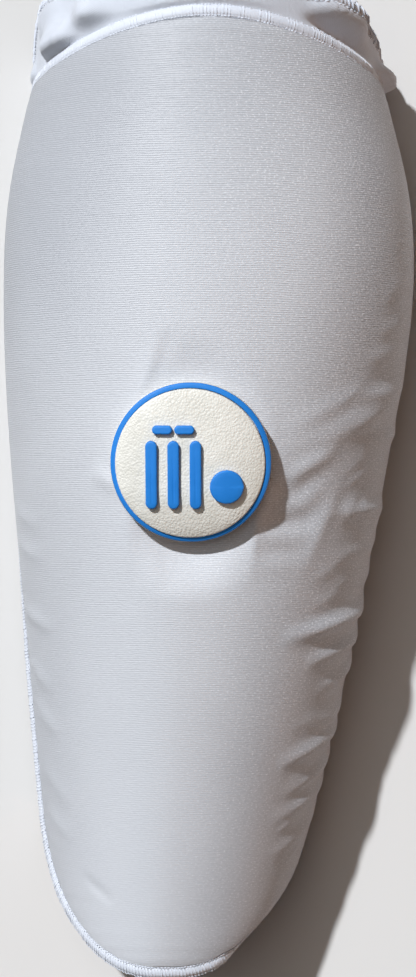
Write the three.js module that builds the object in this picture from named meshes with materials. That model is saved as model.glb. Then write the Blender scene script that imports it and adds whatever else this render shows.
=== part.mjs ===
// A cricket forearm guard that lies on its back, padded face up. A curved foam shield is overlocked to a
// stretch back panel, a gathered cuff closes the elbow end, and a moulded round badge sits on the crest.
// Millimetres: +X runs across the arm, +Y from the wrist to the elbow, +Z up from where the guard lies.
import * as THREE from "three";
import { ParametricGeometry } from "three/addons/geometries/ParametricGeometry.js";
import { mergeVertices } from "three/addons/utils/BufferGeometryUtils.js";

const { clamp, degToRad, lerp, smoothstep } = THREE.MathUtils;
const quarterTurn = Math.PI / 2;

// Driving dimensions
const gap = 0.3; // between pieces that are sewn or moulded together
const weld = 1e-3; // points closer than this are one point
const tipInset = 0.15; // the rounded ends stop this far short of a point
const nudge = 1e-3; // step for measuring slopes
const wrist = { tip: -123, roundFrom: -85, power: 2.4 }; // rounded tongue over the wrist
const elbow = { tip: 118, roundFrom: 101, power: 1.7 }; // shallow arch at the elbow
const pad = { thickness: 11, edgeDrop: 0.6, edgeThickness: 1.6, edgeBand: 7, edgeHeight: 5, tuckFade: 12 };
const seam = { reach: 2.4, thickness: 1.8, clear: 0.6 };
const panel = { wristEnd: -86, elbowEnd: 103.4, thickness: 1.4, inset: 1, lift: 0.5, liftBand: 6 };
const panelHem = { length: 9, fade: 1, thickness: 2.4 };
const cuff = { wall: 1.4, crown: 1.4 }; // crown above 1 moves a puff towards the hem
const cuffBack = { reach: 9, halfWidth: 42, corner: 4.5 }; // where the cuff lies flat beneath the arm
const hem = { reach: 2, thickness: 1.8 };
const badge = { y: 6.5, turn: -2, radius: 20, sink: 1.6, seatBlend: 10 };
const badgeBody = { thickness: 1.6, chamfer: 0.3, plateauRadius: 18.2, plateauTop: 3.6, bevel: 0.5 };
const badgeRim = { top: 3, bevel: 0.4 };
const relief = { height: 1.2, bevel: 0.35 };

// Triangles are spent where the form turns
const padSpans = { outer: 32, inner: 14, along: 48 };
const seamSpans = { round: 6, along: 2 * padSpans.along + 2 }; // a step for each of the pad's on both sides
const panelSpans = { across: 10, along: 20 };
const cuffSpans = { across: 5, along: 84 };
const hemSpans = { round: 6, along: 84 };
const badgeSpans = { round: 44, bar: 4, ball: 11 };

// Sections of the shield's outer face, wrist to elbow: the widest points to left and right, the height of
// the crest, and how far round from the crest each side runs before its sewn edge, in degrees.
const sections = [
  { y: -123, left: -40.6, right: 18.5, crest: 36, turnLeft: 68, turnRight: 98 },
  { y: -85, left: -44.4, right: 27.8, crest: 43, turnLeft: 68, turnRight: 102 },
  { y: -46, left: -48.1, right: 37, crest: 50.5, turnLeft: 74, turnRight: 105 },
  { y: 2, left: -52.1, right: 46.3, crest: 58, turnLeft: 90, turnRight: 106 },
  { y: 50, left: -53.7, right: 53.7, crest: 62, turnLeft: 103, turnRight: 106 },
  { y: 75, left: -52.5, right: 53, crest: 61.8, turnLeft: 104, turnRight: 105 },
  { y: 101, left: -47.4, right: 47.3, crest: 59.5, turnLeft: 104, turnRight: 104 },
  { y: 124, left: -42, right: 42, crest: 56.5, turnLeft: 104, turnRight: 104 },
];

// Main folds in the cover, each a soft ridge between two places given by degrees round from the crest.
const coverFolds = [
  { turn: 30, y: 4, toTurn: 84, toY: 26, width: 4.5, height: 1.2 },
  { turn: 42, y: -7, toTurn: 84, toY: 1, width: 5, height: 1.6 },
  { turn: 34, y: -41, toTurn: 84, toY: -26, width: 4.5, height: 2 },
  { turn: 42, y: -53, toTurn: 80, toY: -45, width: 4.5, height: 1.5 },
  { turn: 44, y: -84, toTurn: 82, toY: -62, width: 5, height: 1.8 },
  { turn: 50, y: -98, toTurn: 82, toY: -82, width: 4.5, height: 1.4 },
  { turn: -46, y: 4, toTurn: -80, toY: -6, width: 4.5, height: 0.9 },
  { turn: -36, y: -34, toTurn: -66, toY: -37, width: 4.5, height: 0.8 },
];

// Gathers of the cuff from left to right over the arch: degrees round from the crest, how far the hem
// stands beyond the seam, and how high the cloth puffs there. Low puffs are the pinches between.
const cuffGathers = [
  { turn: -92, reach: 7, puff: 0.8 },
  { turn: -79, reach: 8, puff: 3.2 },
  { turn: -71, reach: 10, puff: 0.8 },
  { turn: -61, reach: 15, puff: 5.2 },
  { turn: -51, reach: 14, puff: 1 },
  { turn: -40, reach: 13, puff: 5 },
  { turn: -27, reach: 8, puff: 1.2 },
  { turn: -15, reach: 4, puff: 0.8 },
  { turn: 0, reach: 5.5, puff: 1.6 },
  { turn: 16, reach: 6, puff: 1 },
  { turn: 30, reach: 8, puff: 0.8 },
  { turn: 43, reach: 11, puff: 5.4 },
  { turn: 55, reach: 11, puff: 1 },
  { turn: 67, reach: 9, puff: 5 },
  { turn: 80, reach: 7, puff: 1.4 },
  { turn: 92, reach: 7, puff: 0.8 },
];

// Raised wicket on the badge: three stumps, two bails and a ball, by centre and size on the plateau.
const stump = { places: [-9.5, -4, 1.5], y: -2.6, width: 2.9, length: 17 };
const bail = { places: [-6.75, -1.25], y: 8.6, width: 2.2, length: 5 };
const ball = { x: 9.2, y: -5.6, radius: 4.2 };

const finishes = {
  cover: new THREE.MeshStandardMaterial({ color: 0xd4d8de, roughness: 0.62 }),
  thread: new THREE.MeshStandardMaterial({ color: 0xf2f4f6, roughness: 0.55 }),
  sleeve: new THREE.MeshStandardMaterial({ color: 0xe6eaf0, roughness: 0.7 }),
  cream: new THREE.MeshStandardMaterial({ color: 0xe9e7dc, roughness: 0.5 }),
  blue: new THREE.MeshStandardMaterial({ color: 0x2a74c4, roughness: 0.4 }),
};

// Smooth reading of a table: a function of the key column that gives the other columns.
function readTable(rows, key) {
  const columns = Object.keys(rows[0]).filter((name) => name !== key);
  const places = rows.map((row) => row[key]);
  const values = rows.flatMap((row) => columns.map((name) => row[name]));
  const curve = new THREE.CubicInterpolant(places, values, columns.length);
  return (place) => {
    const found = curve.evaluate(place);
    return Object.fromEntries(columns.map((name, i) => [name, found[i]]));
  };
}

// Points that meet are welded into one, and triangles that collapse are dropped.
function weldedSkin(geometry) {
  const bare = new THREE.BufferGeometry();
  bare.setAttribute("position", geometry.getAttribute("position"));
  bare.setIndex(geometry.index);
  const welded = mergeVertices(bare, weld);
  const corners = welded.index.array;
  const kept = [];
  for (let i = 0; i < corners.length; i += 3) {
    const [a, b, c] = corners.subarray(i, i + 3);
    if (a !== b && b !== c && c !== a) kept.push(a, b, c);
  }
  welded.setIndex(kept);
  welded.computeVertexNormals();
  return welded;
}

// A skin that closes on itself, from a function of u round it and v along it.
function closedSkin(pointAt, around, along) {
  const place = (u, v, target) => target.copy(pointAt(u, v));
  return weldedSkin(new ParametricGeometry(place, around, along));
}

// Where a step round a wall's section lies: on its outer face from left to right, then back along its inner.
function wallPlace(u, outerSpans, innerSpans) {
  const steps = outerSpans + innerSpans + 2;
  const step = Math.round(u * steps) % steps;
  if (step <= outerSpans) return { outer: true, across: (2 * step) / outerSpans - 1 };
  return { outer: false, across: 1 - (2 * (step - outerSpans - 1)) / innerSpans };
}

const sectionAt = readTable(sections, "y");

// Share of the full width that the shield keeps at y: 1 between its rounded ends, 0 at the tips.
function outlineShare(y) {
  const rounded = (end) => {
    const along = clamp((y - end.roundFrom) / (end.tip - end.roundFrom), 0, 1);
    return (1 - along ** end.power) ** (1 / end.power);
  };
  return Math.min(rounded(wrist), rounded(elbow));
}

// Each side of a section is part of an ellipse that starts level at the crest.
function shieldSide(y, side) {
  const { left, right, crest, turnLeft, turnRight } = sectionAt(y);
  const full = degToRad(side < 0 ? turnLeft : turnRight);
  const half = (right - left) / 2 / Math.sin(Math.min(full, quarterTurn));
  const rise = (crest - pad.edgeHeight) / (1 - Math.cos(full));
  return { centre: (left + right) / 2, crest, full, half, rise };
}

function shieldPoint(turn, y) {
  const { centre, crest, half, rise } = shieldSide(y, turn);
  return new THREE.Vector3(centre + half * Math.sin(turn), y, crest - rise * (1 - Math.cos(turn)));
}

function shieldNormal(turn, y) {
  const across = shieldPoint(turn + nudge, y).sub(shieldPoint(turn - nudge, y));
  const along = shieldPoint(turn, y + nudge).sub(shieldPoint(turn, y - nudge));
  return across.cross(along).normalize();
}

// How far round from the crest the sewn edge lies at y, on the left (-1) or the right (1).
function edgeTurn(y, side) {
  const { full } = shieldSide(y, side);
  const share = outlineShare(y);
  if (full < quarterTurn) return Math.asin(share * Math.sin(full));
  return Math.asin(share) + (full - quarterTurn) * share ** pad.tuckFade;
}

// Places along Y from tip to tip, closer together at the rounded ends.
function alongShield(share) {
  const middle = (wrist.tip + elbow.tip) / 2;
  const reach = (elbow.tip - wrist.tip) / 2 - tipInset;
  return middle - reach * Math.cos(Math.PI * share);
}

// The shield's face unrolled: how far round from the crest in millimetres, and y.
function unrolled(turn, y) {
  return new THREE.Vector2(shieldSide(y, turn).half * turn, y);
}

const outlineSteps = 160;
const unrolledOutline = [-1, 1].flatMap((side) =>
  Array.from({ length: outlineSteps + 1 }, (_, i) => {
    const y = alongShield(i / outlineSteps);
    return unrolled(side * edgeTurn(y, side), y);
  }),
);

function edgeRounding(turn, y) {
  const here = unrolled(turn, y);
  const distance = Math.min(...unrolledOutline.map((point) => point.distanceTo(here)));
  const nearness = clamp(1 - distance / pad.edgeBand, 0, 1);
  return 1 - Math.sqrt(1 - nearness ** 2);
}

function foldHeight(turn, y) {
  const here = unrolled(turn, y);
  let height = 0;
  for (const fold of coverFolds) {
    const from = unrolled(degToRad(fold.turn), fold.y);
    const run = unrolled(degToRad(fold.toTurn), fold.toY).sub(from);
    const share = clamp(here.clone().sub(from).dot(run) / run.lengthSq(), 0, 1);
    const distance = from.clone().addScaledVector(run, share).distanceTo(here);
    height += fold.height * Math.sin(Math.PI * share) * Math.exp(-((distance / fold.width) ** 2));
  }
  return height;
}

// The badge is drawn down into the foam, which goes flat beneath it.
const badgeTurn = degToRad(badge.turn);
const badgeUp = shieldNormal(badgeTurn, badge.y);
const badgeSeat = shieldPoint(badgeTurn, badge.y).addScaledVector(badgeUp, -badge.sink);

function pressUnderBadge(point) {
  const offset = point.clone().sub(badgeSeat);
  const above = offset.dot(badgeUp);
  const fromAxis = Math.sqrt(Math.max(0, offset.lengthSq() - above ** 2));
  const pressed = 1 - smoothstep(fromAxis, badge.radius, badge.radius + badge.seatBlend);
  return point.addScaledVector(badgeUp, -Math.max(0, above) * pressed);
}

function padPoint(across, y, outer) {
  const turn = across * edgeTurn(y, across);
  const rounding = edgeRounding(turn, y);
  const normal = shieldNormal(turn, y);
  const point = shieldPoint(turn, y);
  if (!outer) {
    const edgeDepth = pad.edgeDrop + pad.edgeThickness;
    return point.addScaledVector(normal, -lerp(pad.thickness, edgeDepth, rounding));
  }
  const rise = foldHeight(turn, y) * (1 - rounding) - pad.edgeDrop * rounding;
  return pressUnderBadge(point.addScaledVector(normal, rise));
}

// Middle of the sewn edge, and the way out of its face.
function sewnEdge(turn, y) {
  const normal = shieldNormal(turn, y);
  const point = shieldPoint(turn, y).addScaledVector(normal, -pad.edgeDrop - pad.edgeThickness / 2);
  return { point, normal };
}

// Once round the edge: up the left side, across the elbow tip, down the right and back across the wrist.
function edgeAround(place) {
  const steps = padSpans.along;
  const step = ((place + 1) % 1) * seamSpans.along;
  const rising = clamp(step / steps, 0, 1);
  const crossing = clamp(step - steps, 0, 1);
  const falling = clamp((step - steps - 1) / steps, 0, 1);
  const returning = clamp(step - 2 * steps - 1, 0, 1);
  const y = alongShield(rising - falling);
  const across = 2 * (crossing - returning) - 1;
  return sewnEdge(across * edgeTurn(y, across), y);
}

// The edge at a place along a path, with the way out of its face and the way out of the shield.
function edgeFrame(edgeAt, place) {
  const { point, normal } = edgeAt(place);
  const along = edgeAt(place + nudge).point.sub(edgeAt(place - nudge).point);
  const out = normal.clone().cross(along).normalize();
  return { point, normal, out };
}

// An oval bead's skin: its size along two directions, about a centre.
function ovalPoint(turn, centre, out, outSize, up, upSize) {
  return centre
    .clone()
    .addScaledVector(out, (Math.cos(turn) * outSize) / 2)
    .addScaledVector(up, (Math.sin(turn) * upSize) / 2);
}

function makeFrontPad() {
  const stations = padSpans.along;
  const rows = stations + 2; // the first and last rows close the ends
  const pointAt = (u, v) => {
    const row = Math.round(v * rows);
    const y = alongShield(clamp(row - 1, 0, stations) / stations);
    const { outer, across } = wallPlace(u, padSpans.outer, padSpans.inner);
    if (row > 0 && row < rows) return padPoint(across, y, outer);
    return sewnEdge(0, y).point;
  };
  return closedSkin(pointAt, padSpans.outer + padSpans.inner + 2, rows);
}

function makeEdgeSeam() {
  const pointAt = (u, v) => {
    const { point, normal, out } = edgeFrame(edgeAround, v % 1);
    const centre = point.addScaledVector(out, seam.clear + seam.reach / 2);
    return ovalPoint(2 * Math.PI * (u % 1), centre, out, seam.reach, normal, seam.thickness);
  };
  return closedSkin(pointAt, seamSpans.round, seamSpans.along);
}

function makeBackPanel() {
  const rows = panelSpans.along + 2;
  const pointAt = (u, v) => {
    const row = Math.round(v * rows);
    const y = lerp(panel.wristEnd, panel.elbowEnd, clamp(row - 1, 0, panelSpans.along) / panelSpans.along);
    const { outer, across } = wallPlace(u, panelSpans.across, panelSpans.across);
    const edgeY = clamp(y, wrist.roundFrom, elbow.roundFrom);
    const left = sewnEdge(-edgeTurn(edgeY, -1), edgeY).point.x + panel.inset;
    const right = sewnEdge(edgeTurn(edgeY, 1), edgeY).point.x - panel.inset;
    const x = lerp(left, right, (across + 1) / 2);
    const nearEdge = clamp(1 - Math.min(x - left, right - x) / panel.liftBand, 0, 1);
    const hemTop = panel.wristEnd + panelHem.length;
    const hemmed = 1 - smoothstep(y, hemTop - panelHem.fade, hemTop);
    const below = panel.lift * nearEdge ** 2;
    const above = below + lerp(panel.thickness, panelHem.thickness, hemmed * (1 - nearEdge));
    const z = row > 0 && row < rows ? (outer ? above : below) : (above + below) / 2;
    return new THREE.Vector3(x, y, z);
  };
  return closedSkin(pointAt, 2 * panelSpans.across + 2, rows);
}

// The sewn edge of the arch at the elbow end, for a turn from the crest, found by halving.
function archEdge(turn) {
  const halvings = 40;
  let near = (wrist.tip + elbow.tip) / 2;
  let far = elbow.tip;
  for (let i = 0; i < halvings; i += 1) {
    const y = (near + far) / 2;
    if (edgeTurn(y, turn) > Math.abs(turn)) near = y;
    else far = y;
  }
  return sewnEdge(turn, near);
}

// The cuff runs from a loop beside the seam to its hem. One curve holds the loop, one its reach and puff.
const cuffLoopPoints = [];
const cuffShapePoints = [];
for (const { turn, reach, puff } of cuffGathers) {
  const { point, out } = edgeFrame(archEdge, degToRad(turn));
  cuffLoopPoints.push(point.addScaledVector(out, seam.clear + seam.reach + 2 * gap));
  cuffShapePoints.push(new THREE.Vector3(reach, puff, 0));
}
const cornerX = cuffBack.halfWidth + cuffBack.corner * Math.SQRT1_2;
for (const [x, rise] of [
  [cornerX, cuffBack.corner],
  [cuffBack.halfWidth, 0],
  [cuffBack.halfWidth / 2, 0],
  [0, 0],
  [-cuffBack.halfWidth / 2, 0],
  [-cuffBack.halfWidth, 0],
  [-cornerX, cuffBack.corner],
]) {
  cuffLoopPoints.push(new THREE.Vector3(x, panel.elbowEnd + gap, cuff.wall / 2 + rise));
  cuffShapePoints.push(new THREE.Vector3(cuffBack.reach, 0, 0));
}
const cuffLoop = new THREE.CatmullRomCurve3(cuffLoopPoints, true);
const cuffShape = new THREE.CatmullRomCurve3(cuffShapePoints, true);
const towardsElbow = new THREE.Vector3(0, 1, 0);

function cuffMiddle(around, across) {
  const place = (around + 1) % 1;
  const { x: reach, y: puff } = cuffShape.getPoint(place);
  const outward = cuffLoop.getTangent(place).cross(towardsElbow).normalize();
  const bulge = puff * Math.sin(Math.PI * across ** cuff.crown);
  const point = cuffLoop.getPoint(place).addScaledVector(towardsElbow, reach * across);
  return point.addScaledVector(outward, bulge);
}

function cuffNormal(around, across) {
  const round = cuffMiddle(around + nudge, across).sub(cuffMiddle(around - nudge, across));
  const inner = Math.max(0, across - nudge);
  const outer = Math.min(1, across + nudge);
  return round.cross(cuffMiddle(around, outer).sub(cuffMiddle(around, inner))).normalize();
}

function makeElbowCuff() {
  const pointAt = (u, v) => {
    const { outer, across } = wallPlace(u, cuffSpans.across, cuffSpans.across);
    const strip = (across + 1) / 2;
    const side = outer ? -1 : 1;
    const point = cuffMiddle(v % 1, strip).addScaledVector(cuffNormal(v % 1, strip), (side * cuff.wall) / 2);
    return point.setZ(Math.max(0, point.z));
  };
  return closedSkin(pointAt, 2 * cuffSpans.across + 2, cuffSpans.along);
}

function makeCuffHem() {
  const pointAt = (u, v) => {
    const normal = cuffNormal(v % 1, 1);
    const centre = cuffMiddle(v % 1, 1).addScaledVector(towardsElbow, gap + hem.reach / 2);
    centre.z = Math.max(centre.z, hem.thickness / 2);
    return ovalPoint(2 * Math.PI * (u % 1), centre, towardsElbow, hem.reach, normal, hem.thickness);
  };
  return closedSkin(pointAt, hemSpans.round, hemSpans.along);
}

// A round moulding from a profile of radius and height, turned about Z.
function turned(profile) {
  const points = profile.map(([radius, height]) => new THREE.Vector2(radius, height));
  return weldedSkin(new THREE.LatheGeometry(points, badgeSpans.round).rotateX(quarterTurn));
}

function makeBadgeBase() {
  const { thickness, chamfer, plateauRadius, plateauTop, bevel } = badgeBody;
  return turned([
    [0, 0],
    [badge.radius - chamfer, 0],
    [badge.radius, chamfer],
    [badge.radius, thickness],
    [plateauRadius, thickness],
    [plateauRadius, plateauTop - bevel],
    [plateauRadius - bevel, plateauTop],
    [0, plateauTop],
  ]);
}

function makeBadgeRim() {
  const inside = badgeBody.plateauRadius + gap;
  const foot = badgeBody.thickness + gap;
  return turned([
    [inside, foot],
    [badge.radius, foot],
    [badge.radius, badgeRim.top - badgeRim.bevel],
    [badge.radius - badgeRim.bevel, badgeRim.top],
    [inside, badgeRim.top],
    [inside, foot],
  ]);
}

function raised(outline, curveSegments) {
  return new THREE.ExtrudeGeometry(outline, {
    depth: relief.height - 2 * relief.bevel,
    bevelThickness: relief.bevel,
    bevelSize: relief.bevel,
    bevelOffset: -relief.bevel,
    bevelSegments: 1,
    curveSegments,
  });
}

// A bar with round ends, along Y or along X.
function roundBar(width, length, upright) {
  const radius = width / 2;
  const reach = length / 2 - radius;
  const outline = new THREE.Shape();
  outline.absarc(0, reach, radius, 0, Math.PI);
  outline.absarc(0, -reach, radius, Math.PI, 2 * Math.PI);
  const bar = raised(outline, badgeSpans.bar);
  return upright ? bar : bar.rotateZ(quarterTurn);
}

function roundBall(radius) {
  return raised(new THREE.Shape().absarc(0, 0, radius, 0, 2 * Math.PI), badgeSpans.ball);
}

function named(name, geometry, finish) {
  const mesh = new THREE.Mesh(geometry, finish);
  mesh.name = name;
  return mesh;
}

function makeBadge() {
  const group = new THREE.Group();
  group.add(named("badge_base", makeBadgeBase(), finishes.cream));
  group.add(named("badge_rim", makeBadgeRim(), finishes.blue));
  const reliefFoot = badgeBody.plateauTop + gap + relief.bevel;
  const addRelief = (name, geometry, x, y) => {
    const mesh = named(name, geometry, finishes.blue);
    mesh.position.set(x, y, reliefFoot);
    group.add(mesh);
  };
  stump.places.forEach((x, i) => {
    addRelief(`badge_stump_${i + 1}`, roundBar(stump.width, stump.length, true), x, stump.y);
  });
  bail.places.forEach((x, i) => {
    addRelief(`badge_bail_${i + 1}`, roundBar(bail.width, bail.length, false), x, bail.y);
  });
  addRelief("badge_ball", roundBall(ball.radius), ball.x, ball.y);
  const across = new THREE.Vector3().crossVectors(towardsElbow, badgeUp).normalize();
  const along = new THREE.Vector3().crossVectors(badgeUp, across);
  group.quaternion.setFromRotationMatrix(new THREE.Matrix4().makeBasis(across, along, badgeUp));
  group.position.copy(badgeSeat).addScaledVector(badgeUp, gap);
  return group;
}

const guard = new THREE.Group();
guard.add(named("front_pad", makeFrontPad(), finishes.cover));
guard.add(named("edge_seam", makeEdgeSeam(), finishes.thread));
guard.add(named("back_panel", makeBackPanel(), finishes.sleeve));
guard.add(named("elbow_cuff", makeElbowCuff(), finishes.sleeve));
guard.add(named("cuff_hem", makeCuffHem(), finishes.thread));
guard.add(makeBadge());

// The origin goes under the middle of the guard, on the surface that it lies on.
const bounds = new THREE.Box3().setFromObject(guard, true);
const middle = bounds.getCenter(new THREE.Vector3());
guard.position.set(-middle.x, -middle.y, -bounds.min.z);

export default guard;
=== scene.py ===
import math

import bpy
import numpy as np
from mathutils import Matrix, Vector


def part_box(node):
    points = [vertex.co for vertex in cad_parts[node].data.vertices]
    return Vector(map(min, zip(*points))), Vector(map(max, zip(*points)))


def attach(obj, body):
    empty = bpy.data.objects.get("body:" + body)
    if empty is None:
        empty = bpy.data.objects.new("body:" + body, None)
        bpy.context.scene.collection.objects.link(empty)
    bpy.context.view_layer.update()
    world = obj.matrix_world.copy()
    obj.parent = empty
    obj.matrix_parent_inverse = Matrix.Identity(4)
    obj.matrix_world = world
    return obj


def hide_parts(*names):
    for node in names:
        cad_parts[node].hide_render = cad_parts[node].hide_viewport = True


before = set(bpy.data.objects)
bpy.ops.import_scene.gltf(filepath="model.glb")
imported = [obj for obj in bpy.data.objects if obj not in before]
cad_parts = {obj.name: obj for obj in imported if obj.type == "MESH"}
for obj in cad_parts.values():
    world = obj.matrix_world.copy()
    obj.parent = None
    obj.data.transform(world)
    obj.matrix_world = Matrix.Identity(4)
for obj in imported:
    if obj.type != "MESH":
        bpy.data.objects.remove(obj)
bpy.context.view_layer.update()  # the guard lies on its back: +Y to the elbow, +Z up out of the padded face
scene = bpy.context.scene
guardBody = "root"
mm = 0.001
quarterTurn = math.pi / 2

# camera, light and floor
view = {
    "height": 0.8,  # metres above the floor, looking straight down
    "focalPixels": 2980,
    "imageHeight": 977,
    "sensor": 36,
}
stage = {
    "floorSize": 4.0,
    "floorColour": (0.60, 0.597, 0.59),
    "floorRoughness": 0.85,
    "skyColour": (0.86, 0.92, 1.0),
    "skyStrength": 0.03,
}
# a hard sun, a warm light low on the right and a broad light overhead
lamps = {
    "sun": {"from": (-0.41, 0.54, 0.735), "colour": (0.95, 0.97, 1.0), "strength": 4.5, "degrees": 2.5},
    "bounce": {"from": (0.36, -0.15, 0.09), "colour": (1.0, 0.47, 0.19), "strength": 0.5, "degrees": 12},
    "over": {"from": (-0.36, 0.28, 1.2), "colour": (1.0, 0.935, 0.875), "strength": 3.9, "size": 1.0},
}


def addObject(name, data):
    obj = bpy.data.objects.new(name, data)
    scene.collection.objects.link(obj)
    return obj


def aimed(obj, start, target=(0, 0, 0)):
    obj.location = start
    obj.rotation_euler = (Vector(target) - Vector(start)).to_track_quat("-Z", "Y").to_euler()


def makeCamera(x, y):
    camera = addObject("camera", bpy.data.cameras.new("camera"))
    camera.data.sensor_width = view["sensor"]
    camera.data.lens = view["focalPixels"] / view["imageHeight"] * view["sensor"]
    camera.location = (x, y, view["height"])
    scene.camera = camera


def makeLights():
    for name, lamp in lamps.items():
        light = bpy.data.lights.new(name, "AREA" if "size" in lamp else "SUN")
        light.energy = lamp["strength"]
        light.color = lamp["colour"]
        if "size" in lamp:
            light.size = lamp["size"]
        else:
            light.angle = math.radians(lamp["degrees"])
        aimed(addObject(name, light), lamp["from"])
    world = bpy.data.worlds.new("sky")
    world.use_nodes = True
    background = world.node_tree.nodes["Background"]
    background.inputs["Color"].default_value = (*stage["skyColour"], 1)
    background.inputs["Strength"].default_value = stage["skyStrength"]
    scene.world = world
    scene.view_settings.view_transform = "Standard"


def makeFloor():
    half = stage["floorSize"] / 2
    mesh = bpy.data.meshes.new("floor")
    corners = [(-half, -half, 0), (half, -half, 0), (half, half, 0), (-half, half, 0)]
    mesh.from_pydata(corners, [], [(0, 1, 2, 3)])
    paint = bpy.data.materials.new("floor_paint")
    paint.use_nodes = True
    shader = paint.node_tree.nodes["Principled BSDF"]
    shader.inputs["Base Color"].default_value = (*stage["floorColour"], 1)
    shader.inputs["Roughness"].default_value = stage["floorRoughness"]
    mesh.materials.append(paint)
    floor = addObject("floor", mesh)


# shader maths


class Wire:
    # a socket with arithmetic, so that finishes read as expressions
    def __init__(self, tree, socket):
        self.tree = tree
        self.socket = socket

    def math(self, operation, *others):
        sockets = {0: self, **dict(enumerate(others, 1))}
        return addNode(self.tree, "ShaderNodeMath", {"operation": operation}, sockets)

    def __add__(self, other):
        return self.math("ADD", other)

    __radd__ = __add__

    def __sub__(self, other):
        return self.math("SUBTRACT", other)

    def __rsub__(self, other):
        return addNode(self.tree, "ShaderNodeMath", {"operation": "SUBTRACT"}, {0: other, 1: self})

    def __mul__(self, other):
        return self.math("MULTIPLY", other)

    __rmul__ = __mul__


def addNode(tree, kind, settings, sockets, output=0):
    node = tree.nodes.new(kind)
    for name, value in settings.items():
        setattr(node, name, value)
    for name, value in sockets.items():
        if isinstance(value, Wire):
            tree.links.new(value.socket, node.inputs[name])
        else:
            node.inputs[name].default_value = value
    return Wire(tree, node.outputs[output])


class Finish:
    # one material: its tree, its shader and the patterns that feed it
    def __init__(self, name, fixed):
        self.material = bpy.data.materials.new(name)
        self.material.use_nodes = True
        self.tree = self.material.node_tree
        self.shader = self.tree.nodes["Principled BSDF"]
        for socket, value in fixed.items():
            self.shader.inputs[socket].default_value = value

    def node(self, kind, settings=None, sockets=None, output=0):
        return addNode(self.tree, kind, settings or {}, sockets or {}, output)

    def place(self):
        return self.node("ShaderNodeTexCoord", output="Object")

    def cloth(self):
        return self.node("ShaderNodeUVMap", {"uv_map": "cloth"})

    def axis(self, vector, name):
        return self.node("ShaderNodeSeparateXYZ", {}, {0: vector}, name)

    def scaled(self, vector, factors):
        return self.node("ShaderNodeVectorMath", {"operation": "MULTIPLY"}, {0: vector, 1: factors})

    def noise(self, vector, scale, detail=2.0, roughness=0.5):
        sockets = {"Vector": vector, "Scale": scale, "Detail": detail, "Roughness": roughness}
        return self.node("ShaderNodeTexNoise", {}, sockets, "Fac")

    def ramp(self, factor, low, high):
        sockets = {"Value": factor, "From Min": low, "From Max": high}
        return self.node("ShaderNodeMapRange", {"interpolation_type": "SMOOTHSTEP"}, sockets)

    def mix(self, factor, first, second):
        sockets = {"Factor": factor, 6: first, 7: second}
        return self.node("ShaderNodeMix", {"data_type": "RGBA"}, sockets, 2)

    def feed(self, socket, wire):
        self.tree.links.new(wire.socket, self.shader.inputs[socket])

    def dress(self, look, shade, gloss, relief):
        # shade runs from the look's dark colour to its light one, and gloss adds to its least roughness
        least, more = look["roughness"]
        sockets = {"Height": relief, "Distance": look["depth"], "Strength": 1.0}
        self.feed("Base Color", self.mix(shade, look["dark"], look["light"]))
        self.feed("Roughness", least + gloss * more)
        self.feed("Normal", self.node("ShaderNodeBump", {}, sockets, "Normal"))
        return self.material


def rgb(red, green, blue):
    return (red, green, blue, 1)


def table(columns, *rows):
    return [dict(zip(columns.split(), row)) for row in rows]


# finishes

coverLook = {
    "shader": {"Sheen Weight": 0.06, "Sheen Roughness": 0.4, "Specular IOR Level": 0.3},
    "light": rgb(0.62, 0.64, 0.676),
    "dark": rgb(0.33, 0.345, 0.376),
    "ribPitch": 0.55,  # millimetres between courses of the knit
    "walePitch": 0.42,
    "driftScale": 0.05,  # the courses wander a little
    "drift": 1.4,
    "runs": (0.07, 1.5, 1.0),  # how the courses break up, along and across them
    "runRange": (0.36, 0.66),
    "glints": (0.9, 2.2, 1.0),
    "paintedSparks": (1.6, 2.5, 1.0),
    "paintedSparkRange": (0.54, 0.75),
    "paintedSparkFrom": (-25, 45),  # painted highlights: bright specks in the colour where the light grazes
    "grainAndShadeFrom": (9, 42),  # and there the courses give way to a grain, with painted shade darkening that side
    "grainAndShadeSlant": 0.15,
    "flankShadeFrom": (10, 52),  # painted shade: the left flank is darkened too, most of all at the wrist
    "taut": (-112, 45),  # towards the wrist the courses are drawn flat
    "tautest": 0.2,
    "dullest": 0.3,
    "elbowShade": (30, 125),  # painted shade: towards the elbow's left the cover is darkened
    "elbowShadeSlant": 0.6,
    "patchScale": 0.045,
    "relief": {"course": 0.45, "wale": 0.12, "glint": 1.4},
    "shade": {  # what each adds to the tone, and from the elbow's darkening on what it takes away; the sparks are painted highlight, and the darkening at the elbow, on the right side and on the left flank is painted shade
        "middle": 0.58,
        "course": 0.24,
        "glint": 0.45,
        "grainGlint": 0.9,
        "patch": 0.16,
        "paintedSpark": 1.3,
        "opened": 0.07,
        "elbowShade": 0.46,
        "grain": 0.42,
        "flankShade": 0.45,
        "openedFlankShade": 0.28,
    },
    "roughness": (0.36, 0.24),
    "depth": 0.00006,
}


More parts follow.
